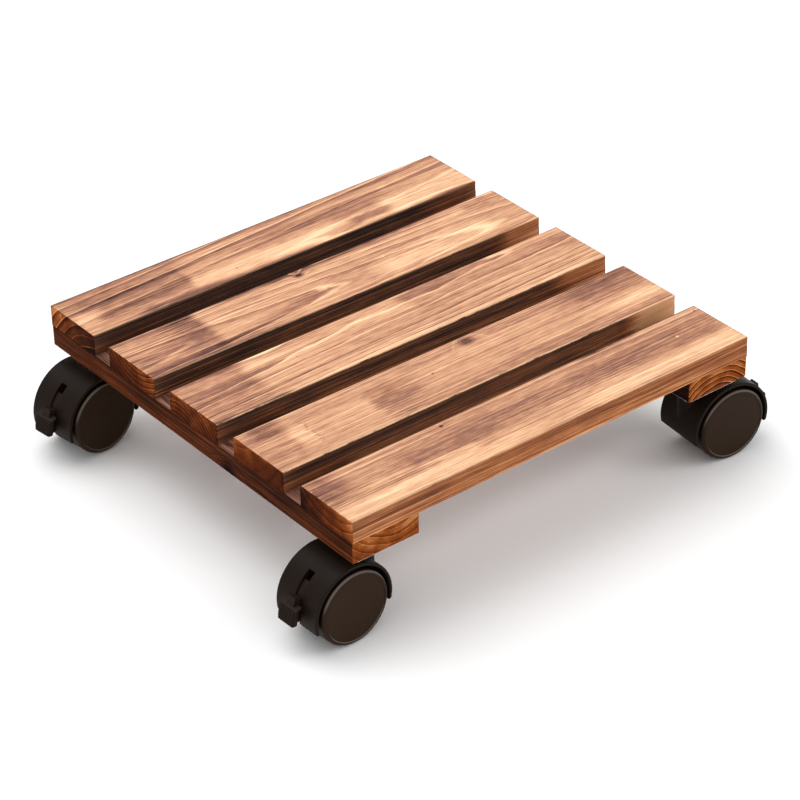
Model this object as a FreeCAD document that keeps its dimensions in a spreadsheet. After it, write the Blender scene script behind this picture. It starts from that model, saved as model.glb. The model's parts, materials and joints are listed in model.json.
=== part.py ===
import FreeCAD, Part
import math
import os
import re
import Sketcher

# Plant pot caddy: a square deck of five slats on two battens, carried by four
# hooded twin-wheel casters, each with a thumb lever brake.
#
# Frame: +Z up, the floor at z = 0, the origin under the middle of the deck.
# The slats run along X, the battens along Y. Front is -Y and left is -X.

doc = FreeCAD.newDocument("plant_pot_caddy")

# Driving dimensions in millimetres, and angles in degrees.
DIMENSIONS = {
    # deck
    "deck_side": 300,
    "slat_width": 47,
    "slat_thickness": 14,
    "slat_count": 5,
    "batten_width": 47,
    "batten_thickness": 14,
    "arris_radius": 0.8,
    # flat-head screws that hold each slat to each batten
    "deck_screw_radius": 1.75,
    "deck_screw_head_radius": 3.5,
    "deck_screw_length": 25,
    "deck_screw_tip": 1.2,
    "deck_screw_offset_x": 11,
    "deck_screw_offset_y": 6,
    "recess_reach": 2,
    "recess_half_width": 0.45,
    "recess_depth": 1.2,
    # caster: plate, plate screws and king pin
    "stem_spacing": 253,
    "trail": 20,
    "front_left_heading": 182,
    "back_left_heading": 187,
    "front_right_heading": -5.5,
    "back_right_heading": 2,
    "plate_side": 42,
    "plate_thickness": 2,
    "plate_corner_radius": 4,
    "plate_hole_pitch": 32,
    "plate_hole_radius": 2.2,
    "plate_screw_radius": 1.75,
    "plate_screw_head_radius": 3.5,
    "plate_screw_head_height": 2.2,
    "plate_screw_length": 12,
    "stem_radius": 4,
    "stem_bottom_height": 27.25,
    "stem_flange_radius": 7,
    "stem_flange_thickness": 1,
    "rivet_head_radius": 5.5,
    "rivet_head_height": 1.2,
    "rivet_relief_radius": 6.5,
    "rivet_relief_depth": 1.5,
    "washer_radius": 7,
    "washer_thickness": 1,
    "swivel_gap": 0.1,
    "ring_height": 48,
    "ring_thickness": 1.4,
    "ring_inner_radius": 3.4,
    "ring_outer_radius": 4.65,
    "ring_split": 1.6,
    "ring_side_gap": 0.1,
    # caster: hood
    "caster_height": 58.25,
    "hood_radius": 28,
    "hood_half_width": 17.5,
    "hood_wall": 1.8,
    "hood_drop": 6.8,
    "hood_rim_radius": 0.6,
    "hood_tip_radius": 1.5,
    "web_half_width": 6,
    "axle_boss_radius": 9,
    "stem_boss_radius": 7.5,
    "stem_bore_clearance": 0.06,
    "slot_width": 5.3,
    "slot_start_angle": 32.5,
    "slot_end_angle": 112,
    # caster: axle and wheels
    "wheel_radius": 23.75,
    "wheel_outer_face": 19.2,
    "wheel_inner_face": 6.6,
    "wheel_disc_recess": 0.4,
    "wheel_disc_radius": 20.9,
    "wheel_edge_radius": 2.4,
    "wheel_inner_edge_radius": 0.8,
    "wheel_rim_thickness": 2.8,
    "wheel_face_thickness": 2.4,
    "wheel_hub_radius": 6.5,
    "wheel_hub_inner_face": 6.2,
    "axle_radius": 3,
    "axle_half_length": 14.4,
    "axle_clearance": 0.05,
    "snap_height": 0.3,
    "snap_position": 11.5,
    "snap_half_width": 0.5,
    "snap_side_gap": 0.2,
    # caster: brake lever
    "front_left_lever_dip": 0,
    "back_left_lever_dip": 0,
    "front_right_lever_dip": 5,
    "back_right_lever_dip": 0,
    "lever_width": 5.1,
    "lever_ring_radius": 6.9,
    "lever_ring_clearance": 0.3,
    "lever_reach": 27.9,
    "lever_sink": 3.75,
    "lever_start_angle": 45,
    "lever_end_angle": 98,
    "neck_start_angle": 67,
    "neck_radius": 30,
    "collar_width": 6.2,
    "collar_inner_radius": 28.5,
    "collar_outer_radius": 33.2,
    "collar_start_angle": 66.2,
    "collar_end_angle": 90,
    "thumb_width": 14.5,
    "thumb_length": 10.8,
    "thumb_thickness": 2,
    "thumb_top_radius": 34.5,
    "thumb_top_angle": 77,
    "thumb_tilt": 9,
    "thumb_corner_radius": 2.5,
    "shelf_depth": 4,
    "shelf_rise": 2.2,
    "shelf_thickness": 1.4,
    "rib_count": 7,
    "rib_pitch": 1.45,
    "rib_width": 0.7,
    "rib_height": 0.6,
    "rib_first": 0.7,
    "rib_half_length": 6.4,
}

sheet = doc.addObject("Spreadsheet::Sheet", "dims")
for row, (alias, number) in enumerate(DIMENSIONS.items(), start=1):
    sheet.set(f"A{row}", alias.replace("_", " "))
    sheet.set(f"B{row}", str(number))
    sheet.setAlias(f"B{row}", alias)
doc.recompute()

# Lengths that several pieces share, as formulas on the sheet's cells.
SLAT_PITCH = "(deck_side - slat_width) / (slat_count - 1)"
BATTEN_CENTRE = "(deck_side - batten_width) / 2"
SLAT_BOTTOM = "caster_height + batten_thickness"
PLATE_BOTTOM = "caster_height - plate_thickness"
FLANGE_BOTTOM = f"{PLATE_BOTTOM} - stem_flange_thickness"
BOSS_TOP = f"{FLANGE_BOTTOM} - swivel_gap - washer_thickness"
HOOD_INNER = "hood_radius - hood_wall"
GROOVE_HALF = "(ring_thickness / 2 + ring_side_gap)"

# Caster positions: name, side along X, side along Y.
CASTERS = (
    ("front_left", -1, -1),
    ("back_left", -1, 1),
    ("front_right", 1, -1),
    ("back_right", 1, 1),
)

sub_parts = []


def cells(formula):
    """Spell a formula's dimension names as cells of the sheet."""
    return re.sub(r"[a-z]\w+", lambda m: f"dims.{m[0]}" if m[0] in DIMENSIONS else m[0], str(formula))


def number(formula):
    """The formula's value now."""
    return float(sheet.evalExpression(cells(formula)))


def bind(item, field, formula):
    """Bind one property or constraint of an object to a formula."""
    item.setExpression(field, cells(formula))


def new_body(label, x="0", y="0", height="0", turn="0"):
    """Start a sub-part whose local frame stands at (x, y, height), turned about Z."""
    body = doc.addObject("PartDesign::Body", label)
    body.Label = label
    body.AllowCompound = True
    bind(body, "Placement.Base.x", x)
    bind(body, "Placement.Base.y", y)
    bind(body, "Placement.Base.z", height)
    bind(body, "Placement.Rotation.Angle", f"({turn}) * 1 deg")
    sub_parts.append(body)
    return body


def new_sketch(body, name, role, offset="0"):
    """A sketch on one of the body's origin planes, moved along its normal."""
    sketch = body.newObject("Sketcher::SketchObject", f"{body.Label}_{name}")
    plane = next(item for item in body.Origin.OriginFeatures if item.Role == role)
    sketch.AttachmentSupport = [(plane, "")]
    sketch.MapMode = "FlatFace"
    bind(sketch, "AttachmentOffset.Base.z", offset)
    return sketch


def fix_point(sketch, geometry, position, x, y):
    """Hold one point of a sketch at (x, y) from the sketch's origin."""
    for kind, formula in (("DistanceX", x), ("DistanceY", y)):
        index = sketch.addConstraint(
            Sketcher.Constraint(kind, -1, 1, geometry, position, number(formula)))
        bind(sketch, f"Constraints[{index}]", formula)


def draw_circle(sketch, x, y, radius):
    centre = FreeCAD.Vector(number(x), number(y), 0)
    circle = sketch.addGeometry(Part.Circle(centre, FreeCAD.Vector(0, 0, 1), number(radius)), False)
    fix_point(sketch, circle, 3, x, y)
    index = sketch.addConstraint(Sketcher.Constraint("Radius", circle, number(radius)))
    bind(sketch, f"Constraints[{index}]", radius)


def draw_polygon(sketch, points):
    """A closed outline of straight lines through points given as formulas."""
    corners = [FreeCAD.Vector(number(x), number(y), 0) for x, y in points]
    count = len(corners)
    sides = [
        sketch.addGeometry(Part.LineSegment(corners[i], corners[(i + 1) % count]), False)
        for i in range(count)
    ]
    for i, side in enumerate(sides):
        sketch.addConstraint(Sketcher.Constraint("Coincident", side, 2, sides[(i + 1) % count], 1))
        fix_point(sketch, side, 1, *points[i])


def draw_rectangle(sketch, x, y, width, height):
    """A rectangle of the given size centred on (x, y)."""
    draw_polygon(sketch, [
        (f"{x} - ({width}) / 2", f"{y} - ({height}) / 2"),
        (f"{x} + ({width}) / 2", f"{y} - ({height}) / 2"),
        (f"{x} + ({width}) / 2", f"{y} + ({height}) / 2"),
        (f"{x} - ({width}) / 2", f"{y} + ({height}) / 2"),
    ])


def draw_cross(sketch, x, y):
    """The cross recess of a screw head."""
    reach = "recess_reach"
    half = "recess_half_width"
    quarter = [(reach, f"-{half}"), (reach, half), (half, half)]
    points = []
    for cos_turn, sin_turn in ((1, 0), (0, 1), (-1, 0), (0, -1)):
        for u, v in quarter:
            points.append((
                f"{x} + ({cos_turn}) * ({u}) - ({sin_turn}) * ({v})",
                f"{y} + ({sin_turn}) * ({u}) + ({cos_turn}) * ({v})",
            ))
    draw_polygon(sketch, points)


def pad(body, sketch, length, symmetric=False, downward=False, taper=0):
    feature = body.newObject("PartDesign::Pad", f"{sketch.Name}_pad")
    feature.Profile = sketch
    bind(feature, "Length", length)
    feature.SideType = "Symmetric" if symmetric else "One side"
    feature.Reversed = downward
    feature.TaperAngle = taper
    return feature


def pocket(body, sketch, length=None, symmetric=False, along_normal=False):
    """Cut a sketch's outline away: to a depth, or right through when no length is given."""
    feature = body.newObject("PartDesign::Pocket", f"{sketch.Name}_pocket")
    feature.Profile = sketch
    if length is None:
        feature.Type = "ThroughAll"
    else:
        bind(feature, "Length", length)
    feature.SideType = "Symmetric" if symmetric else "One side"
    feature.Reversed = along_normal
    return feature


def revolve(body, sketch, kind="PartDesign::Revolution"):
    """Turn a half section about the sketch's vertical axis."""
    feature = body.newObject(kind, f"{sketch.Name}_turned")
    feature.Profile = sketch
    feature.ReferenceAxis = (sketch, ["V_Axis"])
    feature.Angle = 360
    return feature


def soften(body, name, size, wanted, kind="Fillet"):
    """Round or chamfer those edges of the body that the wanted test picks."""
    doc.recompute()
    base = body.Tip
    edges = [f"Edge{i}" for i, edge in enumerate(base.Shape.Edges, start=1) if wanted(edge)]
    if not edges:
        raise RuntimeError(f"{body.Label}: no edge for {name}")
    feature = body.newObject(f"PartDesign::{kind}", f"{body.Label}_{name}")
    feature.Base = (base, edges)
    bind(feature, "Radius" if kind == "Fillet" else "Size", size)
    return feature


def near(a, b):
    return abs(a - b) < 1e-3


def is_ring(edge, radius):
    """True for an arc or circle of this radius."""
    return not edge.Degenerated and isinstance(edge.Curve, Part.Circle) and near(edge.Curve.Radius, radius)


def polar(radius, angle):
    """A point at a distance from the axle, its angle measured from straight up towards the trail."""
    return f"({radius}) * sin({angle})", f"({radius}) * cos({angle})"


def screw_spots():
    """Places of the two deck screws of one slat crossing, from the crossing's centre."""
    return [(f"{side} * deck_screw_offset_x", f"{side} * deck_screw_offset_y") for side in (-1, 1)]


def slat_centre(index):
    """Y of a slat, the first one at the back."""
    return f"((slat_count - 1) / 2 - {index}) * {SLAT_PITCH}"


def plate_hole_spots():
    return [(f"{u} * plate_hole_pitch / 2", f"{v} * plate_hole_pitch / 2")
            for u in (-1, 1) for v in (-1, 1)]


def make_slat(index):
    body = new_body(f"slat_{index + 1}", y=slat_centre(index), height=SLAT_BOTTOM)
    outline = new_sketch(body, "outline", "XY_Plane")
    draw_rectangle(outline, "0", "0", "deck_side", "slat_width")
    pad(body, outline, "slat_thickness")
    soften(body, "arris", "arris_radius", lambda edge: True)
    pilots = new_sketch(body, "pilots", "XY_Plane")
    for side in (-1, 1):
        for x, y in screw_spots():
            draw_circle(pilots, f"{side} * {BATTEN_CENTRE} + {x}", y, "deck_screw_radius")
    pocket(body, pilots, "deck_screw_length - batten_thickness", along_normal=True)


def deck_screw_places(slats):
    """Deck screw places along one batten, in its local frame."""
    return [(x, f"{slat_centre(i)} + {y}") for i in range(slats) for x, y in screw_spots()]


def make_batten(name, side, slats):
    body = new_body(f"{name}_batten", x=f"{side} * {BATTEN_CENTRE}", height="caster_height")
    outline = new_sketch(body, "outline", "XY_Plane")
    draw_rectangle(outline, "0", "0", "batten_width", "deck_side")
    pad(body, outline, "batten_thickness")
    soften(body, "arris", "arris_radius", lambda edge: True)

    # Clearance for the deck screws, countersunk in the underside.
    clearance = new_sketch(body, "clearance", "XY_Plane")
    for x, y in deck_screw_places(slats):
        draw_circle(clearance, x, y, "deck_screw_radius")
    pocket(body, clearance, along_normal=True)
    deck_screw_radius = number("deck_screw_radius")
    soften(body, "countersinks", "deck_screw_head_radius - deck_screw_radius",
           lambda edge: is_ring(edge, deck_screw_radius) and near(edge.Curve.Center.z, 0),
           kind="Chamfer")

    # Pilot holes for the plate screws and a relief for each king pin's rivet head.
    pilots = new_sketch(body, "plate_pilots", "XY_Plane")
    reliefs = new_sketch(body, "rivet_reliefs", "XY_Plane")
    for end in (-1, 1):
        stem_y = f"{end} * stem_spacing / 2"
        draw_circle(reliefs, "0", stem_y, "rivet_relief_radius")
        for x, y in plate_hole_spots():
            draw_circle(pilots, x, f"{stem_y} + {y}", "plate_screw_radius")
    pocket(body, pilots, "plate_screw_length - plate_thickness", along_normal=True)
    pocket(body, reliefs, "rivet_relief_depth", along_normal=True)


def make_deck_screws(name, side, slats):
    """Flat-head screws of one batten, driven from beneath into the slats."""
    body = new_body(f"{name}_batten_screws", x=f"{side} * {BATTEN_CENTRE}", height="caster_height")
    places = deck_screw_places(slats)
    heads = new_sketch(body, "heads", "XY_Plane")
    shanks = new_sketch(body, "shanks", "XY_Plane")
    recesses = new_sketch(body, "recesses", "XY_Plane")
    for x, y in places:
        draw_circle(heads, x, y, "deck_screw_head_radius")
        draw_circle(shanks, x, y, "deck_screw_radius")
        draw_cross(recesses, x, y)
    pad(body, heads, "deck_screw_head_radius - deck_screw_radius", taper=-45)
    pad(body, shanks, "deck_screw_length")
    tip_height = number("deck_screw_length")
    soften(body, "tips", "deck_screw_tip",
           lambda edge: near(edge.BoundBox.ZMin, tip_height), kind="Chamfer")
    pocket(body, recesses, "recess_depth", along_normal=True)


def stem_place(side_x, side_y):
    return {"x": f"{side_x} * stem_spacing / 2", "y": f"{side_y} * stem_spacing / 2"}


def axle_place(name, side_x, side_y):
    """Place of the axle's middle, one trail away from the stem."""
    heading = f"{name}_heading"
    return {
        "x": f"{side_x} * stem_spacing / 2 + trail * cos({heading})",
        "y": f"{side_y} * stem_spacing / 2 + trail * sin({heading})",
        "height": "wheel_radius",
    }


def make_mounting_plate(name, place):
    body = new_body(f"{name}_mounting_plate", height=PLATE_BOTTOM, **place)
    outline = new_sketch(body, "outline", "XY_Plane")
    draw_rectangle(outline, "0", "0", "plate_side", "plate_side")
    pad(body, outline, "plate_thickness")
    soften(body, "corners", "plate_corner_radius",
           lambda edge: near(edge.BoundBox.ZLength, number("plate_thickness")))
    holes = new_sketch(body, "holes", "XY_Plane")
    draw_circle(holes, "0", "0", "stem_radius")
    for x, y in plate_hole_spots():
        draw_circle(holes, x, y, "plate_hole_radius")
    pocket(body, holes, along_normal=True)


def make_plate_screws(name, place):
    """Four pan-head screws from the plate up into the batten."""
    body = new_body(f"{name}_plate_screws", height=PLATE_BOTTOM, **place)
    heads = new_sketch(body, "heads", "XY_Plane")
    shanks = new_sketch(body, "shanks", "XY_Plane")
    recesses = new_sketch(body, "recesses", "XY_Plane", offset="-plate_screw_head_height")
    for x, y in plate_hole_spots():
        draw_circle(heads, x, y, "plate_screw_head_radius")
        draw_circle(shanks, x, y, "plate_screw_radius")
        draw_cross(recesses, x, y)
    pad(body, heads, "plate_screw_head_height", downward=True)
    pad(body, shanks, "plate_screw_length")
    tip_height = number("plate_screw_length")
    soften(body, "tips", "deck_screw_tip",
           lambda edge: near(edge.BoundBox.ZMin, tip_height), kind="Chamfer")
    crown_height = -number("plate_screw_head_height")
    soften(body, "crowns", "plate_screw_head_height / 2",
           lambda edge: near(edge.BoundBox.ZMax, crown_height))
    pocket(body, recesses, "recess_depth", along_normal=True)


def make_stem(name, place):
    """King pin riveted to the plate, with a flange under it and a groove for the retaining ring."""
    body = new_body(f"{name}_stem", **place)
    section = new_sketch(body, "section", "XZ_Plane")
    groove_radius = "ring_inner_radius - swivel_gap"
    rivet_top = "caster_height + rivet_head_height"
    chamfer = "stem_radius / 4"
    draw_polygon(section, [
        ("0", rivet_top),
        ("rivet_head_radius - rivet_head_height / 2", rivet_top),
        ("rivet_head_radius", "caster_height + rivet_head_height / 2"),
        ("rivet_head_radius", "caster_height"),
        ("stem_radius", "caster_height"),
        ("stem_radius", PLATE_BOTTOM),
        ("stem_flange_radius", PLATE_BOTTOM),
        ("stem_flange_radius", FLANGE_BOTTOM),
        ("stem_radius", FLANGE_BOTTOM),
        ("stem_radius", f"ring_height + {GROOVE_HALF}"),
        (groove_radius, f"ring_height + {GROOVE_HALF}"),
        (groove_radius, f"ring_height - {GROOVE_HALF}"),
        ("stem_radius", f"ring_height - {GROOVE_HALF}"),
        ("stem_radius", f"stem_bottom_height + {chamfer}"),
        (f"stem_radius - {chamfer}", "stem_bottom_height"),
        ("0", "stem_bottom_height"),
    ])
    revolve(body, section)


def make_thrust_washer(name, place):
    body = new_body(f"{name}_thrust_washer", **place)
    outline = new_sketch(body, "outline", "XY_Plane", offset=BOSS_TOP)
    draw_circle(outline, "0", "0", "washer_radius")
    draw_circle(outline, "0", "0", "stem_radius + stem_bore_clearance")
    pad(body, outline, "washer_thickness")


def make_retaining_ring(name, place):
    """Split ring that holds the hood up on the king pin."""
    body = new_body(f"{name}_retaining_ring", **place)
    outline = new_sketch(body, "outline", "XY_Plane", offset="ring_height")
    draw_circle(outline, "0", "0", "ring_outer_radius")
    draw_circle(outline, "0", "0", "ring_inner_radius")
    pad(body, outline, "ring_thickness", symmetric=True)
    split = new_sketch(body, "split", "XY_Plane", offset="ring_height")
    draw_rectangle(split, "0", "ring_outer_radius", "ring_split", "2 * ring_outer_radius")
    pocket(body, split, "ring_thickness * 2", symmetric=True)


def make_hood(name, place):
    """Hood moulding: a curved shell over both wheels, a web between them and a stem boss."""
    body = new_body(f"{name}_hood", **place)
    axle = ("trail", "wheel_radius")
    bottom = "wheel_radius - hood_drop"

    barrel = new_sketch(body, "barrel", "XZ_Plane")
    draw_circle(barrel, *axle, "hood_radius")
    pad(body, barrel, "2 * hood_half_width", symmetric=True)
    underside = new_sketch(body, "underside", "XZ_Plane")
    draw_rectangle(underside, "trail", f"({bottom}) - hood_radius", "4 * hood_radius", "2 * hood_radius")
    pocket(body, underside, "4 * hood_half_width", symmetric=True)

    hood_radius = number("hood_radius")
    bottom_height = number(bottom)
    soften(body, "tips", "hood_tip_radius",
           lambda edge: near(edge.BoundBox.ZMax, bottom_height) and edge.BoundBox.YLength > 1)
    soften(body, "rims", "hood_rim_radius", lambda edge: is_ring(edge, hood_radius))

    boss = new_sketch(body, "stem_boss", "XY_Plane", offset="wheel_radius")
    draw_circle(boss, "0", "0", "stem_boss_radius")
    pad(body, boss, f"{BOSS_TOP} - wheel_radius")

    # The wheel wells leave the shell and the web.
    for side, facing in (("front", 1), ("back", -1)):
        well = new_sketch(body, f"{side}_well", "XZ_Plane", offset=f"{facing} * web_half_width")
        draw_circle(well, *axle, HOOD_INNER)
        pocket(body, well, along_normal=facing == 1)

    axle_boss = new_sketch(body, "axle_boss", "XZ_Plane")
    draw_circle(axle_boss, *axle, "axle_boss_radius")
    pad(body, axle_boss, "2 * web_half_width", symmetric=True)

    bore = new_sketch(body, "stem_bore", "XY_Plane", offset=BOSS_TOP)
    draw_circle(bore, "0", "0", "stem_radius + stem_bore_clearance")
    pocket(body, bore, f"{BOSS_TOP} - stem_bottom_height + 5 * swivel_gap")
    groove = new_sketch(body, "ring_groove", "XZ_Plane")
    draw_polygon(groove, [
        ("stem_radius", f"ring_height - {GROOVE_HALF}"),
        ("ring_outer_radius + ring_side_gap", f"ring_height - {GROOVE_HALF}"),
        ("ring_outer_radius + ring_side_gap", f"ring_height + {GROOVE_HALF}"),
        ("stem_radius", f"ring_height + {GROOVE_HALF}"),
    ])
    revolve(body, groove, kind="PartDesign::Groove")

    # The slot that the brake lever swings in, and the round recess for its ring.
    slot = new_sketch(body, "lever_slot", "XZ_Plane")
    corners = [("0", "0")]
    corners.append(polar("2 * hood_radius", "slot_start_angle"))
    corners.append(polar("3 * hood_radius", "(slot_start_angle + slot_end_angle) / 2"))
    corners.append(polar("2 * hood_radius", "slot_end_angle"))
    draw_polygon(slot, [(f"trail + {x}", f"wheel_radius + {z}") for x, z in corners])
    pocket(body, slot, "slot_width", symmetric=True)
    recess = new_sketch(body, "lever_ring_recess", "XZ_Plane")
    draw_circle(recess, *axle, "lever_ring_radius + lever_ring_clearance")
    pocket(body, recess, "slot_width", symmetric=True)
    axle_bore = new_sketch(body, "axle_bore", "XZ_Plane")
    draw_circle(axle_bore, *axle, "axle_radius")
    pocket(body, axle_bore, "4 * web_half_width", symmetric=True)


def make_axle(name, place):
    """Steel axle with a snap groove for each wheel."""
    body = new_body(f"{name}_axle", turn=f"{name}_heading", **place)
    section = new_sketch(body, "section", "XY_Plane")
    groove_radius = "axle_radius - snap_height"
    groove_half = "(snap_half_width + snap_side_gap)"
    chamfer = "axle_radius / 6"
    near_end = [
        ("0", "axle_half_length"),
        (f"axle_radius - {chamfer}", "axle_half_length"),
        ("axle_radius", f"axle_half_length - {chamfer}"),
        ("axle_radius", f"snap_position + {groove_half}"),
        (groove_radius, f"snap_position + {groove_half}"),
        (groove_radius, f"snap_position - {groove_half}"),
        ("axle_radius", f"snap_position - {groove_half}"),
    ]
    far_end = [(r, f"-({y})") for r, y in reversed(near_end)]
    draw_polygon(section, near_end + far_end)
    revolve(body, section)


def make_wheel(name, place, label, turned):
    """Cup-shaped wheel on one side of the web; the other side's is turned half round."""
    body = new_body(f"{name}_{label}", turn=f"{name}_heading + {turned}", **place)
    section = new_sketch(body, "section", "XY_Plane")
    face_back = "wheel_outer_face - wheel_face_thickness"
    disc = "wheel_outer_face - wheel_disc_recess"
    rim_inside = "wheel_radius - wheel_rim_thickness"
    bore = "axle_radius + axle_clearance"
    lip = "axle_radius - snap_height + axle_clearance"
    bore_end = "axle_half_length + snap_half_width"
    draw_polygon(section, [
        ("0", disc),
        ("wheel_disc_radius", disc),
        ("wheel_disc_radius + wheel_disc_recess", "wheel_outer_face"),
        ("wheel_radius", "wheel_outer_face"),
        ("wheel_radius", "wheel_inner_face"),
        (rim_inside, "wheel_inner_face"),
        (rim_inside, face_back),
        ("wheel_hub_radius", face_back),
        ("wheel_hub_radius", "wheel_hub_inner_face"),
        (bore, "wheel_hub_inner_face"),
        (bore, "snap_position - snap_half_width"),
        (lip, "snap_position - snap_half_width"),
        (lip, "snap_position + snap_half_width"),
        (bore, "snap_position + snap_half_width"),
        (bore, bore_end),
        ("0", bore_end),
    ])
    revolve(body, section)
    wheel_radius = number("wheel_radius")
    for edge_name, size, face in (
            ("outer_edge", "wheel_edge_radius", "wheel_outer_face"),
            ("inner_edge", "wheel_inner_edge_radius", "wheel_inner_face")):
        face_height = number(face)
        soften(body, edge_name, size,
               lambda edge: is_ring(edge, wheel_radius) and near(edge.Curve.Center.y, face_height))


def make_brake_lever(name, place):
    """Thumb lever: a ring on the axle, an arm in the hood's slot, a collar, and a ribbed pad with a
    shelf. Each caster's lever stands at its own dip."""
    body = new_body(f"{name}_brake_lever", turn=f"{name}_heading", **place)
    dip = f"{name}_lever_dip"

    def spoke(radius, angle):
        return polar(radius, f"({angle}) + {dip}")

    ring = new_sketch(body, "ring", "XZ_Plane")
    draw_circle(ring, "0", "0", "lever_ring_radius")
    pad(body, ring, "lever_width", symmetric=True)
    arm = new_sketch(body, "arm", "XZ_Plane")
    draw_polygon(arm, [
        ("0", "0"),
        spoke("2 * lever_reach", "lever_start_angle"),
        spoke("2 * lever_reach", "(lever_start_angle + lever_end_angle) / 2"),
        spoke("2 * lever_reach", "lever_end_angle"),
    ])
    pad(body, arm, "lever_width", symmetric=True)
    # The arm's back sinks into the slot towards its upper end.
    outside = new_sketch(body, "outside", "XZ_Plane")
    draw_circle(outside, *spoke("lever_sink", "lever_end_angle"), "lever_reach - lever_sink")
    draw_circle(outside, "0", "0", "3 * lever_reach")
    pocket(body, outside, "2 * lever_width", symmetric=True)

    neck = new_sketch(body, "neck", "XZ_Plane")
    draw_polygon(neck, [
        spoke("lever_reach / 2", "neck_start_angle"),
        spoke("neck_radius", "neck_start_angle"),
        spoke("neck_radius", "(neck_start_angle + lever_end_angle) / 2"),
        spoke("neck_radius", "lever_end_angle"),
        spoke("lever_reach / 2", "lever_end_angle"),
    ])
    pad(body, neck, "lever_width", symmetric=True)
    collar = new_sketch(body, "collar", "XZ_Plane")
    collar_middle = "(collar_start_angle + collar_end_angle) / 2"
    draw_polygon(collar, [
        spoke("collar_inner_radius", "collar_start_angle"),
        spoke("collar_outer_radius", "collar_start_angle"),
        spoke("collar_outer_radius", collar_middle),
        spoke("collar_outer_radius", "collar_end_angle"),
        spoke("collar_inner_radius", "collar_end_angle"),
        spoke("collar_inner_radius", collar_middle),
    ])
    pad(body, collar, "collar_width", symmetric=True)

    # The pad leans outwards; a point on it is so far down its face and so far behind it.
    top_x, top_z = spoke("thumb_top_radius", "thumb_top_angle")
    tilt = f"(thumb_tilt - {dip})"

    def on_thumb(down, behind):
        return (
            f"{top_x} + ({down}) * sin({tilt}) - ({behind}) * cos({tilt})",
            f"{top_z} - ({down}) * cos({tilt}) - ({behind}) * sin({tilt})",
        )

    thumb = new_sketch(body, "thumb", "XZ_Plane")
    draw_polygon(thumb, [
        on_thumb("0", "0"),
        on_thumb("thumb_length", "0"),
        on_thumb("thumb_length", "thumb_thickness"),
        on_thumb("0", "thumb_thickness"),
    ])
    pad(body, thumb, "thumb_width", symmetric=True)
    half_width = number("thumb_width") / 2
    foot_x, foot_z = (number(part) for part in on_thumb("thumb_length", "thumb_thickness / 2"))
    soften(body, "thumb_corners", "thumb_corner_radius",
           lambda edge: near(abs(edge.CenterOfMass.y), half_width)
           and near(edge.CenterOfMass.x, foot_x) and near(edge.CenterOfMass.z, foot_z))

    shelf = new_sketch(body, "shelf", "XZ_Plane")
    draw_polygon(shelf, [
        on_thumb("0", "0"),
        on_thumb("-shelf_rise", "shelf_depth"),
        on_thumb("shelf_thickness - shelf_rise", "shelf_depth"),
        on_thumb("shelf_thickness", "thumb_thickness / 2"),
    ])
    pad(body, shelf, "thumb_width", symmetric=True)

    ribs = new_sketch(body, "ribs", "XZ_Plane")
    for index in range(int(number("rib_count"))):
        start = f"rib_first + {index} * rib_pitch"
        draw_polygon(ribs, [
            on_thumb(start, "rib_width / 2"),
            on_thumb(start, "-rib_height"),
            on_thumb(f"{start} + rib_width", "-rib_height"),
            on_thumb(f"{start} + rib_width", "rib_width / 2"),
        ])
    pad(body, ribs, "2 * rib_half_length", symmetric=True)

    bore = new_sketch(body, "bore", "XZ_Plane")
    draw_circle(bore, "0", "0", "axle_radius + axle_clearance")
    pocket(body, bore, "2 * lever_width", symmetric=True)


def make_caster(name, side_x, side_y):
    fixed = stem_place(side_x, side_y)
    swivel = dict(fixed, turn=f"{name}_heading")
    axle = axle_place(name, side_x, side_y)
    make_mounting_plate(name, fixed)
    make_plate_screws(name, fixed)
    make_stem(name, fixed)
    make_thrust_washer(name, swivel)
    make_retaining_ring(name, swivel)
    make_hood(name, swivel)
    make_axle(name, axle)
    # The local +Y side of a caster faces out of the deck or in, by its heading.
    faces_out = side_y * math.cos(math.radians(number(f"{name}_heading"))) > 0
    make_wheel(name, axle, "outer_wheel", 0 if faces_out else 180)
    make_wheel(name, axle, "inner_wheel", 180 if faces_out else 0)
    make_brake_lever(name, axle)


slat_total = int(number("slat_count"))
for slat_index in range(slat_total):
    make_slat(slat_index)
for batten_name, batten_side in (("left", -1), ("right", 1)):
    make_batten(batten_name, batten_side, slat_total)
    make_deck_screws(batten_name, batten_side, slat_total)
for caster in CASTERS:
    make_caster(*caster)
doc.recompute()

for item in doc.Objects:
    if "Invalid" in item.State or "Error" in item.State:
        raise RuntimeError(f"{item.Label} is {item.State}")
for body in sub_parts:
    if body.Shape.isNull() or not body.Shape.isValid():
        raise RuntimeError(f"{body.Label} has no valid shape")

os.makedirs("parts", exist_ok=True)
for body in sub_parts:
    body.Shape.exportStep(f"parts/{body.Label}.step")
    box = body.Shape.BoundBox
    print(f"{body.Label:30s} solids {len(body.Shape.Solids):2d}  volume {body.Shape.Volume:10.1f}  "
          f"x {box.XMin:7.2f} {box.XMax:7.2f}  y {box.YMin:7.2f} {box.YMax:7.2f}  "
          f"z {box.ZMin:6.2f} {box.ZMax:6.2f}")
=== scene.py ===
import json
import math

import bmesh
import bpy
from mathutils import Matrix, Vector, noise


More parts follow.
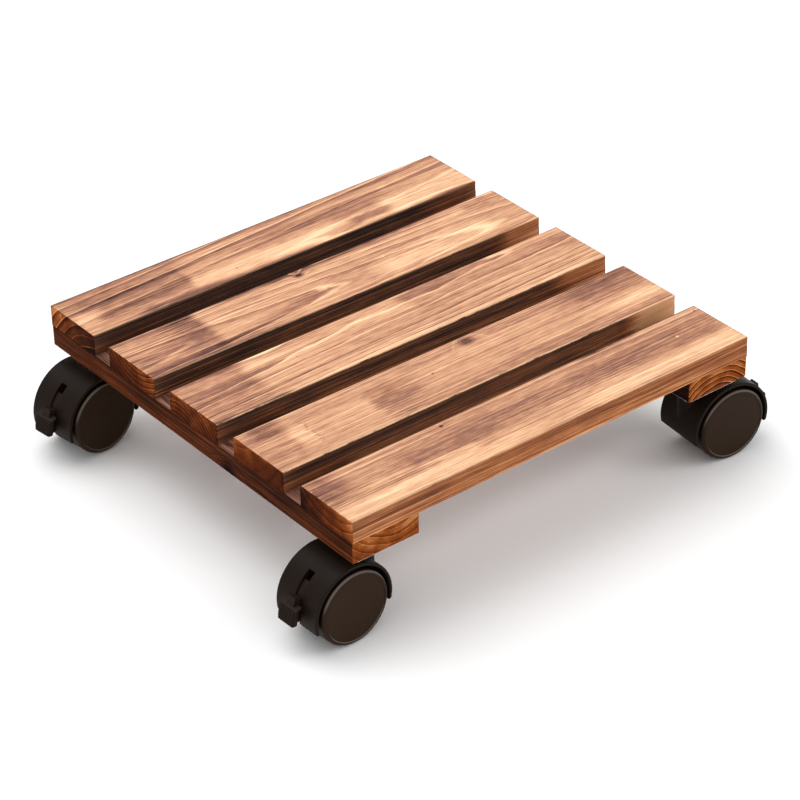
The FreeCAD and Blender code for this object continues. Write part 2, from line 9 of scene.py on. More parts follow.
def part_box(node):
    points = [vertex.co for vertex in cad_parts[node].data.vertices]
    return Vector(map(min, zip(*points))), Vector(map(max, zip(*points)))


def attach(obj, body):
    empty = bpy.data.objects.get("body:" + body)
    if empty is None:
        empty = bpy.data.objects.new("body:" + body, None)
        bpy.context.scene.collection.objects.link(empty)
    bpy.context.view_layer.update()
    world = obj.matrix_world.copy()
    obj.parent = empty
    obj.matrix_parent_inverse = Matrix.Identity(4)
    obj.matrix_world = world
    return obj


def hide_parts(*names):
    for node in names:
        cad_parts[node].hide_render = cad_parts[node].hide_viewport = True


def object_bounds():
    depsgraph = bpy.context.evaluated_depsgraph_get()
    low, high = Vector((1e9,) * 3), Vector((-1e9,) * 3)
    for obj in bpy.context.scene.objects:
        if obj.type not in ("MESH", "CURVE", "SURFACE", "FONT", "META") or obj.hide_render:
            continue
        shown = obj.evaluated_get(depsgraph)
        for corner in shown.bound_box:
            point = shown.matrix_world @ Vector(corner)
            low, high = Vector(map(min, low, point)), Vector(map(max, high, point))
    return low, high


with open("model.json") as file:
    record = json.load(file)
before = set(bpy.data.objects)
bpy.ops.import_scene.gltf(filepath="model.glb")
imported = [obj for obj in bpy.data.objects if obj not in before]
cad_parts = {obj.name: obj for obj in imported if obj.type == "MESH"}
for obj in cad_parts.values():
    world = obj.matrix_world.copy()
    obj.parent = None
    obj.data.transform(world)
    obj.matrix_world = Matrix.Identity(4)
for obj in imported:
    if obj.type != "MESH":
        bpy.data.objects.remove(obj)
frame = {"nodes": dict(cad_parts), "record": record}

# Plant pot caddy: torched pine slats on two battens, carried by four hooded twin-wheel casters.
# Everything is in metres in the CAD frame: slats along X, battens along Y, the floor at z = 0.

CAD_BOX = [list(corner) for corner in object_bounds()]
DECK_TOP = CAD_BOX[1][2]
MM = 0.001

# Where the camera stands: its angles about the deck, its distance and the point that it looks at.
VIEW_AZIMUTH = math.radians(-38.17)
VIEW_ELEVATION = math.radians(32.95)
VIEW_ROLL = -0.0177
VIEW_DISTANCE = 1.7033
VIEW_TARGET = Vector((-0.0527, -0.0705, DECK_TOP))
LENS_MM = 132.3
SENSOR_MM = 36
SKY_STRENGTH = 0.80
FLOOR_SIDE = 12.0


def linear(red, green, blue):
    """A colour given as sRGB bytes, as linear light."""
    channels = []
    for byte in (red, green, blue):
        share = byte / 255
        channels.append(share / 12.92 if share <= 0.04045 else ((share + 0.055) / 1.055) ** 2.4)
    return (*channels, 1.0)


def scaled_colour(colour, share, lift=0.0):
    """A linear colour made darker or paler."""
    return (*(channel * share + lift for channel in colour[:3]), 1.0)


# ---------------------------------------------------------------- node trees

class Net:
    """One material's node tree. Each method adds a node and gives back its output socket."""

    def __init__(self, name):
        self.material = bpy.data.materials.new(name)
        self.material.use_nodes = True
        self.tree = self.material.node_tree
        self.tree.nodes.clear()
        self.shader = self.tree.nodes.new("ShaderNodeBsdfPrincipled")
        output = self.tree.nodes.new("ShaderNodeOutputMaterial")
        self.tree.links.new(self.shader.outputs["BSDF"], output.inputs["Surface"])

    def put(self, socket, value):
        """Link a socket's value, or set a plain one."""
        if isinstance(value, bpy.types.NodeSocket):
            self.tree.links.new(value, socket)
        else:
            socket.default_value = value

    def set(self, name, value):
        self.put(self.shader.inputs[name], value)

    def coordinates(self):
        return self.tree.nodes.new("ShaderNodeTexCoord").outputs["Object"]

    def math(self, operation, *values):
        node = self.tree.nodes.new("ShaderNodeMath")
        node.operation = operation
        for socket, value in zip(node.inputs, values):
            self.put(socket, value)
        return node.outputs[0]

    def minus(self, first, second):
        return self.math("SUBTRACT", first, second)

    def add(self, *values):
        total = values[0]
        for value in values[1:]:
            total = self.math("ADD", total, value)
        return total

    def times(self, *values):
        total = values[0]
        for value in values[1:]:
            total = self.math("MULTIPLY", total, value)
        return total

    def split(self, vector):
        node = self.tree.nodes.new("ShaderNodeSeparateXYZ")
        self.put(node.inputs[0], vector)
        return node.outputs[0], node.outputs[1], node.outputs[2]

    def join(self, x, y, z):
        node = self.tree.nodes.new("ShaderNodeCombineXYZ")
        for socket, value in zip(node.inputs, (x, y, z)):
            self.put(socket, value)
        return node.outputs[0]

    def scaled(self, x, y, z, scale):
        """The position stretched by a scale along each axis, for a pattern of that pitch."""
        return self.join(self.times(x, scale[0]), self.times(y, scale[1]), self.times(z, scale[2]))

    def normal(self):
        """Which way the surface faces, in the world."""
        return self.tree.nodes.new("ShaderNodeNewGeometry").outputs["Normal"]

    def noise(self, vector, detail=2.0, roughness=0.5, seed=0.0):
        node = self.tree.nodes.new("ShaderNodeTexNoise")
        node.noise_dimensions = "4D"
        self.put(node.inputs["Vector"], vector)
        node.inputs["W"].default_value = seed
        node.inputs["Scale"].default_value = 1.0
        node.inputs["Detail"].default_value = detail
        node.inputs["Roughness"].default_value = roughness
        return node.outputs["Fac"]

    def random(self, value):
        """A steady random number for each value."""
        node = self.tree.nodes.new("ShaderNodeTexWhiteNoise")
        node.noise_dimensions = "1D"
        self.put(node.inputs["W"], value)
        return node.outputs["Value"]

    def step(self, value, low, high):
        """0 below low, 1 above high and smooth between them; high may be the lower one."""
        node = self.tree.nodes.new("ShaderNodeMapRange")
        node.interpolation_type = "SMOOTHSTEP"
        rising = high > low
        self.put(node.inputs["Value"], value)
        node.inputs["From Min"].default_value = low if rising else high
        node.inputs["From Max"].default_value = high if rising else low
        node.inputs["To Min"].default_value = 0.0 if rising else 1.0
        node.inputs["To Max"].default_value = 1.0 if rising else 0.0
        return node.outputs["Result"]

    def mix(self, share, first, second):
        node = self.tree.nodes.new("ShaderNodeMix")
        node.data_type = "RGBA"
        sockets = {socket.identifier: socket for socket in node.inputs}
        self.put(sockets["Factor_Float"], share)
        self.put(sockets["A_Color"], first)
        self.put(sockets["B_Color"], second)
        return next(socket for socket in node.outputs if socket.identifier == "Result_Color")

    def ramp(self, share, stops):
        """A colour ramp through (position, colour) stops."""
        node = self.tree.nodes.new("ShaderNodeValToRGB")
        self.put(node.inputs[0], share)
        elements = node.color_ramp.elements
        while len(elements) < len(stops):
            elements.new(0.5)
        for element, (position, colour) in zip(elements, stops):
            element.position = position
            element.color = colour
        return node.outputs[0]

    def bump(self, height, distance, strength):
        node = self.tree.nodes.new("ShaderNodeBump")
        node.inputs["Distance"].default_value = distance
        node.inputs["Strength"].default_value = strength
        self.put(node.inputs["Height"], height)
        self.put(self.shader.inputs["Normal"], node.outputs[0])


# ---------------------------------------------------------------- wood

# Each board of torched pine, in millimetres from its own middle: along the board, across it and up.
# pith: where the tree's heart passes, across and up; lean: how far it moves per mm along the board.
# rings: the spacing of the year rings, their phase, and how dark and how pale their lines are.
# tone: from bare (0) to charred (1).
# knots and marks: along, across, radius (and how dark; a negative mark is pale).
# side_knots: along, up and radius of knots that break through the long sides.
# patches: scorched from one place along the board to another, how soft each end is, the middle
# across, the half width and the strength (negative where the brush left it pale).
# sides: how charred the long sides are, first the +across side.
# bare_from: where the -across side turns paler, and by how much.
# worn_and_highlight: how much the -across top arris is rubbed bare, with a painted highlight on it;
# end_shade: how much paler the sawn end is towards -across.
BOARDS = {
    "slat_1": dict(
        pith=(-18.5, -31.2), lean=(0.047, 0.012), rings=(6.7, 0.57, 0.9, 1.3), tone=0.36,
        seed=1.0, worn_and_highlight=0.2, end_shade=-0.30,
        sides=(0.9, 0.73), bare_from=(95, 0.20), knots=[], marks=[(-36, -13.5, 1.1, 0.25)],
        patches=[(-136, -67, 12, 3, -3, 15, 0.14), (-150, -60, 4, 10, 13, 11, 0.08),
                 (46, 84, 18, 5, -12, 12, 0.13), (-20, 78, 25, 25, 5, 7, 0.08),
                 (-112, -52, 10, 10, -22, 5, 0.26), (-60, 20, 14, 10, -24, 3.5, 0.24),
                 (118, 146, 8, 6, -24, 3.5, 0.3), (-150, 110, 1, 30, 23, 4, 0.10),
                 (-68, 46, 3, 12, -13, 9, -0.14), (86, 150, 6, 2, -12, 9, -0.17),
                 (-148, -132, 2, 5, -8, 8, -0.12)],
    ),
    "slat_2": dict(
        pith=(-8.5, 34.6), lean=(-0.010, 0.031), rings=(3.6, 0.64, 0.6, 1.2), tone=0.33,
        seed=2.0, worn_and_highlight=0.35, end_shade=0.12,
        sides=(0.9, 0.65), bare_from=(106, 0.42), knots=[(-12, 17.5, 2.0)],
        marks=[(-7, -6.5, 1.5, 0.14), (43, 2.5, 1.2, -0.15)],
        patches=[(-113, -91, 12, 4, 2, 24, 0.24), (-150, -112, 1, 10, -6, 15, 0.12),
                 (-150, -92, 2, 4, 22, 5, 0.16), (-72, 94, 16, 16, 24, 3.8, 0.30),
                 (-4, 34, 4, 18, -4, 10, 0.09), (-150, -60, 2, 24, -21, 6, 0.20),
                 (32, 120, 14, 8, -9, 8, -0.17), (120, 150, 4, 2, 14, 7, 0.08)],
    ),
    "slat_3": dict(
        pith=(17.4, -29.4), lean=(0.020, -0.009), rings=(3.1, 0.77, 0.8, 1.0), tone=0.32,
        seed=3.0, worn_and_highlight=0.8, end_shade=-0.08,
        sides=(0.9, 0.60), bare_from=(100, 0.36), knots=[], marks=[(-70, 6, 1.0, 0.12)],
        patches=[(-150, -103, 1, 6, 4, 26, 0.17), (-150, -96, 1, 8, -24, 3, 0.42),
                 (18, 150, 12, 5, 8, 10, 0.10), (-100, 16, 8, 6, 18, 8, -0.15),
                 (-98, 150, 8, 2, -22.5, 3, -0.17), (-60, 60, 20, 20, -4, 6, 0.08)],
    ),
    "slat_4": dict(
        pith=(24.0, 32.0), lean=(0.010, 0.010), rings=(7.0, 0.0, 0.2, 0.15), tone=0.355,
        seed=4.0, worn_and_highlight=1.0, end_shade=-0.12,
        sides=(0.9, 0.60), bare_from=(102, 0.68), knots=[(18, 17.9, 3.0)],
        marks=[(-20, 2.9, 1.1, 0.28)],
        patches=[(-150, -124, 1, 6, 0, 26, 0.08), (-142, -122, 6, 6, 17, 8, 0.18),
                 (-67, -36, 3.5, 18, -2, 12, 0.20), (94, 150, 24, 2, 16, 13, 0.22),
                 (-111.6, -110.4, 0.5, 0.5, 0, 15, 0.11), (-62, 150, 10, 4, -20, 5, 0.10),
                 (-124, -112, 3, 1.5, -3, 11, -0.11), (108, 150, 20, 1, -11, 9, -0.15)],
    ),
    "slat_5": dict(
        pith=(-6.0, 36.0), lean=(0.0, 0.008), rings=(5.6, 0.0, 0.3, 0.7), tone=0.345,
        seed=5.0, worn_and_highlight=0.3, end_shade=0.30,
        sides=(0.95, 0.38), bare_from=(200, 0.0), knots=[],
        marks=[(-52, 19.5, 1.6, 0.4), (146, 18.8, 1.1, 0.35), (118, 4, 1.2, -0.4)],
        patches=[(-150, -130, 1, 10, 9, 14, 0.24), (-112, 150, 30, 8, 5, 14, 0.12),
                 (-90, -28, 18, 18, 1, 11, 0.06), (50, 132, 22, 22, 5, 8, 0.08),
                 (58, 100, 10, 10, 24, 2.6, 0.36), (-150, -16, 4, 30, -17, 7, -0.13),
                 (24, 150, 20, 2, -16, 8, -0.15)],
    ),
    "left_batten": dict(
        pith=(12.0, 38.0), lean=(0.02, 0.02), rings=(5.0, 0.0, 0.4, 0.5), tone=0.66,
        seed=6.0, worn_and_highlight=0.0, end_shade=0.0,
        sides=(0.9, 0.66), bare_from=(200, 0.0), knots=[],
        side_knots=[(-33, -6.5, 5.0)], marks=[], patches=[],
    ),
    "right_batten": dict(
        pith=(-1.0, -27.0), lean=(0.01, 0.01), rings=(3.7, 0.0, 0.8, 1.6), tone=0.66,
        seed=7.0, worn_and_highlight=0.0, end_shade=0.0,
        sides=(0.8, 0.9), bare_from=(200, 0.0), knots=[], marks=[], patches=[],
    ),
}

# Torched pine from bare to charred: on the faces, on the slats' sides, and on the sawn ends and the
# battens' sides, which no brush has cleaned.
FACE_TONES = (
    (0.00, linear(251, 213, 172)),
    (0.14, linear(236, 190, 150)),
    (0.30, linear(209, 159, 124)),
    (0.46, linear(174, 124, 98)),
    (0.62, linear(130, 90, 74)),
    (0.80, linear(66, 46, 40)),
    (1.00, linear(30, 23, 20)),
)
SIDE_TONES = (
    (0.00, linear(228, 170, 124)),
    (0.25, linear(182, 118, 76)),
    (0.45, linear(138, 82, 52)),
    (0.62, linear(97, 62, 46)),
    (0.80, linear(60, 44, 38)),
    (1.00, linear(34, 27, 25)),
)
END_TONES = (
    (0.00, linear(208, 142, 90)),
    (0.25, linear(143, 74, 29)),
    (0.50, linear(91, 39, 12)),
    (0.75, linear(50, 20, 6)),
    (1.00, linear(22, 9, 4)),
)
# Pale pine for the -across top arris: partly bare wood, partly a painted highlight.
BARE_PINE_AND_HIGHLIGHT = FACE_TONES[1][1]
PURPLE = linear(140, 98, 88)
WOOD_SHEEN = 0.02
WOOD_RELIEF = 0.00025


class Wood(Net):
    """The node tree of one board of torched pine, in millimetres from the board's middle: along it,
    across it and up. Rings, fibres and scorching fill its solid, so that faces and ends agree."""

    def __init__(self, name, board):
        super().__init__(f"torched_pine_{name}")
        low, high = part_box(name)
        middle = (low + high) / 2
        size = high - low
        self.board = board
        self.is_slat = size.x > size.y
        self.half_length = max(size.x, size.y) / 2 / MM
        self.half_width = min(size.x, size.y) / 2 / MM
        self.half_thickness = size.z / 2 / MM
        x, y, z = self.split(self.coordinates())
        east = self.times(self.minus(x, middle.x), 1 / MM)
        north = self.times(self.minus(y, middle.y), 1 / MM)
        self.along, self.across = (east, north) if self.is_slat else (north, east)
        self.up = self.times(self.minus(z, middle.z), 1 / MM)

        self.cloud = self.pattern(34, 11, layer=7, detail=4.0, roughness=0.6)
        self.mottle = self.pattern(11, 4, layer=9, detail=3.0, roughness=0.6)
        self.fibre = self.pattern(60, 1.1, layer=3, detail=3.0, roughness=0.65)
        self.fleck = self.pattern(9, 0.8, layer=5, detail=2.0, roughness=0.6)
        self.hair = self.pattern(120, 0.55, layer=6, detail=2.0)
        thread = self.pattern(150, 0.85, layer=40, detail=1.0)
        self.streaks = self.add(
            self.times(self.step(thread, 0.58, 0.68), -0.17),
            self.times(self.step(thread, 0.41, 0.32), 0.14))
        self.grow_rings()

    def pattern(self, pitch_along, pitch_across, layer=0, **settings):
        """Noise in cells of that pitch in mm, along the board and across it; layers differ."""
        scale = (1 / pitch_along, 1 / pitch_across, 1 / pitch_across)
        place = self.scaled(self.along, self.across, self.up, scale)
        return self.noise(place, seed=self.board["seed"] + layer, **settings)

    def centred(self, value, amount):
        """Noise about nought, that much from end to end."""
        return self.times(self.minus(value, 0.5), amount)

    def apart(self, first, second):
        squares = self.add(self.math("POWER", first, 2.0), self.math("POWER", second, 2.0))
        return self.math("SQRT", squares)

    def spread(self, along_to, other, other_to, stretch):
        """How far a point is from a place on the board, with distance along the grain stretched."""
        lengthways = self.times(self.minus(self.along, along_to), stretch)
        return self.apart(lengthways, self.minus(other, other_to))

    def from_pith(self):
        """Distance from the leaning pith, which wanders as the tree grew."""
        pith_across, pith_up = self.board["pith"]
        lean_across, lean_up = self.board["lean"]
        distance = self.apart(
            self.minus(self.across, self.add(pith_across, self.times(self.along, lean_across))),
            self.minus(self.up, self.add(pith_up, self.times(self.along, lean_up))))
        return self.add(
            distance,
            self.centred(self.pattern(110, 24, detail=2.0), 4.0),
            self.centred(self.pattern(34, 7, layer=20, detail=2.0), 1.0),
            self.centred(self.pattern(10, 2, layer=30), 0.3))

    def grow_rings(self):
        """Year rings, pushed aside by the knots: sets late_wood, pale_line and knot_tone."""
        distance = self.from_pith()
        knots = [(self.spread(place, self.across, side, 0.7), radius)
                 for place, side, radius in self.board["knots"]]
        knots += [(self.spread(place, self.up, height, 1.0), radius)
                  for place, height, radius in self.board.get("side_knots", [])]
        self.knot_tone = 0.0
        for from_knot, radius in knots:
            from_knot = self.add(from_knot, self.centred(self.mottle, radius * 0.9))
            push = self.step(from_knot, 4.0 * radius, 0.4 * radius)
            distance = self.add(distance, self.times(push, radius * 1.6))
            core = self.step(from_knot, 1.05 * radius, 0.7 * radius)
            rim = self.times(self.step(from_knot, 0.8 * radius, 1.1 * radius),
                             self.step(from_knot, 1.6 * radius, 1.2 * radius))
            halo = self.step(from_knot, 2.6 * radius, 1.2 * radius)
            self.knot_tone = self.add(
                self.knot_tone, self.times(core, 0.34), self.times(rim, 0.12), self.times(halo, 0.06))

        spacing, phase, self.dark_strength, self.pale_strength = self.board["rings"]
        year = self.minus(self.times(distance, 1 / spacing), phase)
        season = self.math("FRACT", year)
        ring_chance = self.random(self.math("FLOOR", year))
        late_wood = self.times(self.step(season, 0.45, 0.94), self.step(season, 1.0, 0.96))
        self.late_wood = self.times(late_wood, self.add(self.times(ring_chance, 1.2), 0.1))
        pale_line = self.times(self.step(season, 0.0, 0.03), self.step(season, 0.16, 0.06))
        self.pale_line = self.times(pale_line, self.add(self.times(ring_chance, -0.9), 1.2))

    def scorch(self):
        """How charred the brushed faces are."""
        tone = self.add(
            self.board["tone"], self.centred(self.cloud, 0.20), self.centred(self.mottle, 0.13),
            self.centred(self.fibre, 0.52), self.centred(self.fleck, 0.38),
            self.centred(self.hair, 0.26), self.streaks,
            self.times(self.late_wood, 0.22 * self.dark_strength),
            self.times(self.pale_line, -0.21 * self.pale_strength), self.knot_tone)
        ragged = self.add(
            self.along, self.centred(self.fleck, 8.0),
            self.centred(self.pattern(30, 5, layer=12, detail=3.0), 12.0))
        blotch = self.add(self.times(self.mottle, 1.3), 0.35)
        for start, stop, start_soft, stop_soft, side, half_wide, strength in self.board["patches"]:
            reach = self.add(self.math("ABSOLUTE", self.minus(self.across, side)),
                             self.centred(self.cloud, half_wide * 1.6))
            patch = self.times(
                self.step(ragged, start - start_soft, start + start_soft),
                self.step(ragged, stop + stop_soft, stop - stop_soft),
                self.step(reach, half_wide * 1.5, half_wide * 0.3), blotch)
            tone = self.add(tone, self.times(patch, strength))
        for place, side, radius, strength in self.board["marks"]:
            from_mark = self.spread(place, self.across, side, 0.9)
            from_mark = self.add(from_mark, self.centred(self.fleck, radius))
            tone = self.add(tone, self.times(self.step(from_mark, radius, radius * 0.4), strength))
        return tone

    def side_colour(self):
        """Charred long sides; the slats' -across sides turn paler towards one end, and all lower down."""
        plus_side, minus_side = self.board["sides"]
        bare_start, bare_amount = self.board["bare_from"]
        bare_edge = self.add(self.along, self.centred(self.cloud, 40))
        bare = self.times(self.step(bare_edge, bare_start, bare_start + 26), bare_amount)
        tone = self.add(
            self.times(self.step(self.across, 0.5, 0.6), plus_side - minus_side), minus_side,
            self.centred(self.fibre, 0.90), self.centred(self.cloud, 0.40),
            self.centred(self.fleck, 0.20), self.centred(self.hair, 0.50), self.times(self.streaks, 1.2),
            self.times(self.pale_line, -0.10), self.times(self.late_wood, 0.10), self.knot_tone,
            self.times(bare, -1.0), self.times(self.up, 0.014))
        colour = self.ramp(tone, SIDE_TONES)
        if self.is_slat:
            return colour
        return self.mix(0.85, colour, self.ramp(tone, END_TONES))

    def end_colour(self):
        """Sawn ends show the same rings, redder and darker; the battens' are less charred."""
        charred = self.board["tone"] * 0.5 + (0.36 if self.is_slat else -0.06)
        tone = self.add(
            charred, self.times(self.late_wood, 0.40 * self.dark_strength),
            self.times(self.pale_line, -0.26 * self.pale_strength),
            self.centred(self.pattern(40, 9, layer=15, detail=3.0), 0.60),
            self.centred(self.pattern(0.9, 0.9, layer=11, detail=2.0), 0.24),
            self.times(self.across, self.board["end_shade"] / self.half_width),
            self.times(self.up, -0.012))
        return self.ramp(tone, END_TONES)


def wood_material(name, board):
    """Torched pine: brushed faces, charred sides with one worn arris carrying a painted highlight, and
    sawn ends.
    """
    wood = Wood(name, board)
    scorch = wood.scorch()
    below = wood.step(wood.up, 0.5 - wood.half_thickness, -wood.half_thickness)
    face_tone = wood.add(scorch, wood.times(below, 0.12))
    bloom = wood.times(wood.step(scorch, 0.40, 0.58), wood.step(wood.cloud, 0.40, 0.60), 0.45)
    face_colour = wood.mix(bloom, wood.ramp(face_tone, FACE_TONES), PURPLE)

    sideways = wood.math("ABSOLUTE", wood.across)
    on_side = wood.step(sideways, wood.half_width - 0.75, wood.half_width - 0.3)
    colour = wood.mix(on_side, face_colour, wood.side_colour())
    # The -across top arris is mixed towards pale pine. This is partly real wear and partly a painted
    # highlight along the edge.
    arris = wood.times(
        wood.step(wood.across, 1.3 - wood.half_width, 0.6 - wood.half_width),
        wood.step(wood.up, wood.half_thickness - 0.7, wood.half_thickness - 0.3),
        wood.step(wood.mottle, 0.30, 0.55), board["worn_and_highlight"] * 0.8)
    colour = wood.mix(arris, colour, BARE_PINE_AND_HIGHLIGHT)
    endways = wood.math("ABSOLUTE", wood.along)
    on_end = wood.step(endways, wood.half_length - 0.7, wood.half_length - 0.25)
    wood.set("Base Color", wood.mix(on_end, colour, wood.end_colour()))

    wood.set("Roughness", wood.add(0.52, wood.times(wood.fibre, 0.20), wood.times(face_tone, 0.12)))
    wood.shader.inputs["Specular IOR Level"].default_value = WOOD_SHEEN
    relief = wood.add(
        wood.times(wood.fibre, 0.45), wood.times(wood.fleck, 0.25), wood.times(wood.hair, 0.20),
        wood.times(wood.late_wood, 0.35 * wood.dark_strength), wood.times(wood.knot_tone, -0.6))
    wood.bump(relief, WOOD_RELIEF, 0.9)
    return wood.material


# ---------------------------------------------------------------- plastic and steel

# Noise scales in these materials are in cells per metre.
NYLON_SHEEN = 0.06
# Colour of the painted highlight along the wheels' upper rim edges.
PAINTED_HIGHLIGHT_NYLON = linear(112, 104, 96)


def nylon_material(name, colour, roughness, seed, painted_highlight_and_shade=0.0):
    """Black moulded nylon: faint mould texture, handling marks and slightly paler scuffs. The last
    argument sets a painted highlight on the upper edge of an upright rim and painted shade on the tread
    inside it."""
    net = Net(name)
    x, y, z = net.split(net.coordinates())
    grain = net.noise(net.scaled(x, y, z, (4200, 4200, 4200)), detail=2.0, seed=seed)
    flow = net.noise(net.scaled(x, y, z, (60, 60, 60)), detail=4.0, seed=seed + 1)
    scuff = net.noise(net.scaled(x, y, z, (900, 140, 700)), detail=5.0, roughness=0.7, seed=seed + 2)
    scuffed = net.step(scuff, 0.60, 0.78)
    pale = scaled_colour(colour, 1.9, 0.006)
    deep = scaled_colour(colour, 0.72)
    tinted = net.mix(net.times(flow, 0.5), colour, deep)
    scuffed_colour = net.mix(net.times(scuffed, 0.35), tinted, pale)
    _, normal_y, normal_z = net.split(net.normal())
    sideways = net.math("ABSOLUTE", normal_y)
    # Painted highlight: the rim's upward-tilted edge faces are mixed towards a pale colour, standing in
    # for the overhead light's reflection.
    rim = net.times(net.step(sideways, 0.25, 0.50), net.step(sideways, 0.93, 0.72),
                    net.step(normal_z, 0.15, 0.45), net.add(0.55, net.times(flow, 0.7)), painted_highlight_and_shade)
    # Painted shade: the tread between the hood and the wheel face is darkened, standing in for the shadow
    # inside the hood.
    painted_tread_shade = net.times(net.step(sideways, 0.50, 0.15), min(1.0, painted_highlight_and_shade))
    painted_shade_colour = scaled_colour(colour, 0.3)
    net.set("Base Color", net.mix(rim, net.mix(painted_tread_shade, scuffed_colour, painted_shade_colour), PAINTED_HIGHLIGHT_NYLON))
    net.set("Roughness", net.add(
        roughness, net.times(net.minus(flow, 0.5), 0.16), net.times(scuffed, 0.08)))
    net.shader.inputs["Specular IOR Level"].default_value = NYLON_SHEEN
    net.bump(net.add(net.times(grain, 0.6), net.times(scuff, 0.4)), 0.00005, 0.6)
    return net.material


def steel_material(name, colour, roughness, seed):
    """Plated steel: rolling streaks, blotched plating and dulled patches."""
    net = Net(name)
    x, y, z = net.split(net.coordinates())
    streak = net.noise(net.scaled(x, y, z, (250, 3000, 3000)), detail=3.0, seed=seed)
    blotch = net.noise(net.scaled(x, y, z, (220, 220, 220)), detail=4.0, seed=seed + 1)
    dull = scaled_colour(colour, 0.55)
    net.set("Base Color", net.mix(net.step(blotch, 0.42, 0.75), colour, dull))
    net.shader.inputs["Metallic"].default_value = 1.0
    net.set("Roughness", net.add(roughness, net.times(streak, 0.12), net.times(blotch, 0.14)))
    net.bump(streak, 0.00003, 0.5)
    return net.material


# ---------------------------------------------------------------- boards

# The top arrises are worn on the -Y side and still sharp on the +Y side and below.
WORN_ARRIS = 0.0005
SHARP_ARRIS = 0.0001
SURFACE_WAVER = 0.000006
BOARD_CELL = 0.0025
# Where the rows of vertices round an arris lie, as shares of it.
ARRIS_ROWS = (0.35, 0.7, 1.0)
# Cells per metre of the noise behind the wear, the dents in the arrises and the faces' waver.
WEAR_CELLS = 55
DENT_CELLS = 160
WAVER_CELLS = Vector((14, 60, 60))


def arris_ticks(reach):
    """Grid lines from -reach to reach, close together at the arrises."""
    inner = reach - WORN_ARRIS
    count = max(2, round(2 * inner / BOARD_CELL))
    even = [-inner + 2 * inner * i / count for i in range(count + 1)]
    edge = [inner + WORN_ARRIS * share for share in ARRIS_ROWS]
    return [-place for place in reversed(edge)] + even + edge


def grid_box(half):
    """A closed box of small faces about the origin, that far to each side."""
    form = bmesh.new()
    grid = [arris_ticks(reach) for reach in half]
    found = {}

    def corner(index):
        if index not in found:
            found[index] = form.verts.new([grid[axis][index[axis]] for axis in range(3)])
        return found[index]

    for axis in range(3):
        first, second = (axis + 1) % 3, (axis + 2) % 3
        for end in (0, len(grid[axis]) - 1):
            for i in range(len(grid[first]) - 1):
                for j in range(len(grid[second]) - 1):
                    ring = []
                    for di, dj in ((0, 0), (1, 0), (1, 1), (0, 1)):
                        index = [0, 0, 0]
                        index[axis], index[first], index[second] = end, i + di, j + dj
                        ring.append(corner(tuple(index)))
                    form.faces.new(ring if end else reversed(ring))
    return form


def softened(place, half, offset):
    """Where a point of the box lies once its arrises are worn and its faces waver inwards."""
    # Wear rounds the arris more in some places than in others.
    wear = 0.5 + 0.5 * noise.noise(place * WEAR_CELLS + offset)
    dent = max(0.0, noise.noise(place * DENT_CELLS + offset * 2) - 0.25)
    worn_share = 0.5 - place.y / (2 * half.y) if place.z > 0 else 0.0
    arris = SHARP_ARRIS + (WORN_ARRIS - SHARP_ARRIS) * worn_share
    core = Vector(max(arris - reach, min(reach - arris, value)) for reach, value in zip(half, place))
    outward = place - core
    edges = sum(1 for value in outward if abs(value) > 1e-6)
    if outward.length > 0:
        radius = arris * (1 - 0.10 * edges * (wear + 2.5 * dent)) if edges > 1 else arris
        outward = outward.normalized() * radius
    waver = SURFACE_WAVER * (1 + noise.noise(place * WAVER_CELLS + offset))
    soft = core + outward
    for axis in range(3):
        if abs(outward[axis]) > 1e-6:
            soft[axis] -= math.copysign(waver, outward[axis])
    return soft


def soft_board(name, seed):
    """A slat with softened, slightly worn arrises and a faintly uneven surface, inside its CAD node."""
    low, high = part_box(name)
    middle = (low + high) / 2
    half = (high - low) / 2
    form = grid_box(half)
    offset = Vector((seed * 3.1, seed * 7.7, seed * 1.9))
    for vertex in form.verts:
        vertex.co = softened(vertex.co.copy(), half, offset) + middle
    mesh = bpy.data.meshes.new(f"{name}_board")
    form.to_mesh(mesh)
    form.free()
    mesh.polygons.foreach_set("use_smooth", [True] * len(mesh.polygons))
    board = bpy.data.objects.new(f"{name}_board", mesh)
    bpy.context.collection.objects.link(board)
    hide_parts(name)
    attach(board, "deck")
    return board


def paint(piece, material):
    piece.data.materials.clear()
    piece.data.materials.append(material)


for name, board in BOARDS.items():
    piece = soft_board(name, board["seed"]) if name.startswith("slat") else frame["nodes"][name]
    paint(piece, wood_material(name, board))


# ---------------------------------------------------------------- casters

SLOT_MATERIALS = {
    "hood_nylon": nylon_material("hood_nylon", linear(30, 21, 16), 0.42, 10.0),
    # The wheel's last argument sets its painted rim highlight and the painted shade on its tread.
    "wheel_nylon": nylon_material("wheel_nylon", linear(46, 31, 20), 0.34, 20.0, 0.8),
    "lever_nylon": nylon_material("lever_nylon", linear(38, 27, 20), 0.44, 30.0),
    "plate_steel": steel_material("plate_steel", linear(200, 202, 205), 0.30, 40.0),
    "pin_steel": steel_material("pin_steel", linear(190, 190, 195), 0.26, 50.0),
    "spring_steel": steel_material("spring_steel", linear(110, 108, 112), 0.34, 60.0),
    "screw_steel": steel_material("screw_steel", linear(205, 196, 160), 0.30, 70.0),
}
for subpart in frame["record"]["subparts"]:
    if subpart["node"] not in BOARDS:
        node = frame["nodes"][subpart["node"]]
        paint(node, SLOT_MATERIALS[subpart["material_slot"]])


# ---------------------------------------------------------------- stage, light and camera

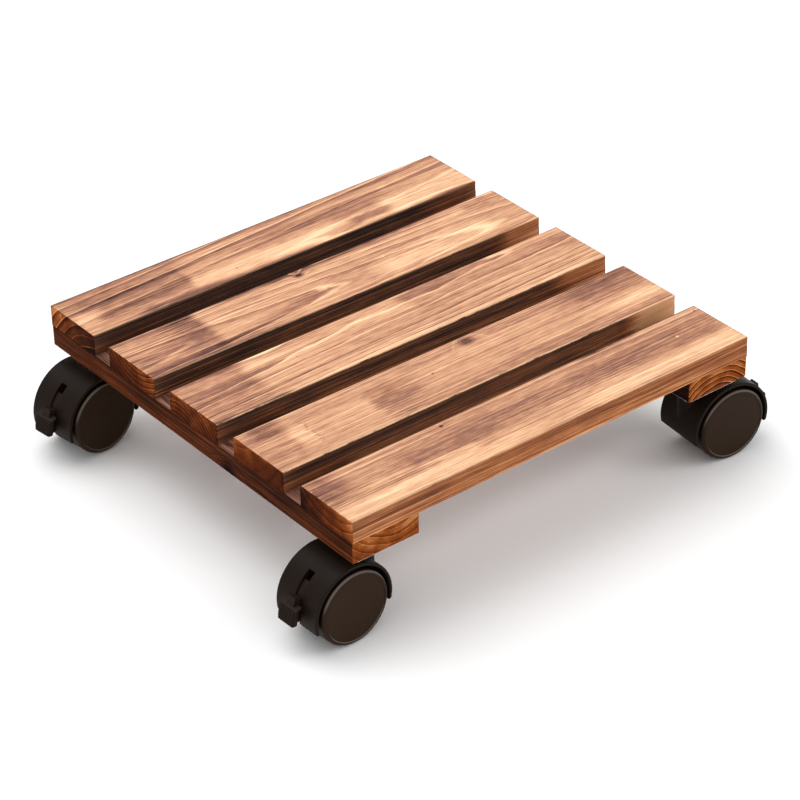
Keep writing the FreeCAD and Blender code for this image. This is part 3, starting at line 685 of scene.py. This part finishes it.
def floor():
    """A plain pale floor under everything."""
    bpy.ops.mesh.primitive_plane_add(size=FLOOR_SIDE, location=(0, 0, 0))
    ground = bpy.context.object
    ground.name = "floor"
    net = Net("floor_paint")
    x, y, z = net.split(net.coordinates())
    cloud = net.noise(net.scaled(x, y, z, (3, 3, 3)), detail=2.0)
    net.set("Base Color", net.mix(cloud, linear(250, 250, 250), linear(246, 246, 246)))
    net.shader.inputs["Roughness"].default_value = 0.9
    net.shader.inputs["Specular IOR Level"].default_value = 0.1
    paint(ground, net.material)


def area_light(name, place, aim, size, power):
    data = bpy.data.lights.new(name, "AREA")
    data.shape = "SQUARE"
    data.size = size
    data.energy = power
    lamp = bpy.data.objects.new(name, data)
    lamp.location = place
    lamp.rotation_euler = (Vector(aim) - Vector(place)).to_track_quat("-Z", "Y").to_euler()
    bpy.context.collection.objects.link(lamp)


def studio():
    """An even white sky, a large soft light overhead and a weaker one from the right."""
    world = bpy.data.worlds.new("studio")
    world.use_nodes = True
    background = world.node_tree.nodes["Background"]
    background.inputs["Color"].default_value = (1, 1, 1, 1)
    background.inputs["Strength"].default_value = SKY_STRENGTH
    bpy.context.scene.world = world
    area_light("overhead", place=(-0.3, 0.9, 2.2), aim=(0, 0, 0), size=2.4, power=38)
    area_light("side", place=(1.7, -1.6, 1.2), aim=(0, 0, 0.05), size=1.2, power=14)


def camera():
    """The camera at the viewing angle that the deck is seen from."""
    back = Vector((
        math.sin(VIEW_AZIMUTH) * math.cos(VIEW_ELEVATION),
        -math.cos(VIEW_AZIMUTH) * math.cos(VIEW_ELEVATION),
        math.sin(VIEW_ELEVATION)))
    data = bpy.data.cameras.new("camera")
    data.lens = LENS_MM
    data.sensor_width = SENSOR_MM
    view = bpy.data.objects.new("camera", data)
    view.location = VIEW_TARGET + back * VIEW_DISTANCE
    level = (-back).to_track_quat("-Z", "Y").to_matrix()
    view.rotation_euler = (level @ Matrix.Rotation(VIEW_ROLL, 3, "Z")).to_euler()
    bpy.context.collection.objects.link(view)
    bpy.context.scene.camera = view


floor()
studio()
camera()
bpy.context.scene.view_settings.view_transform = "Standard"
bpy.context.scene.view_settings.look = "None"
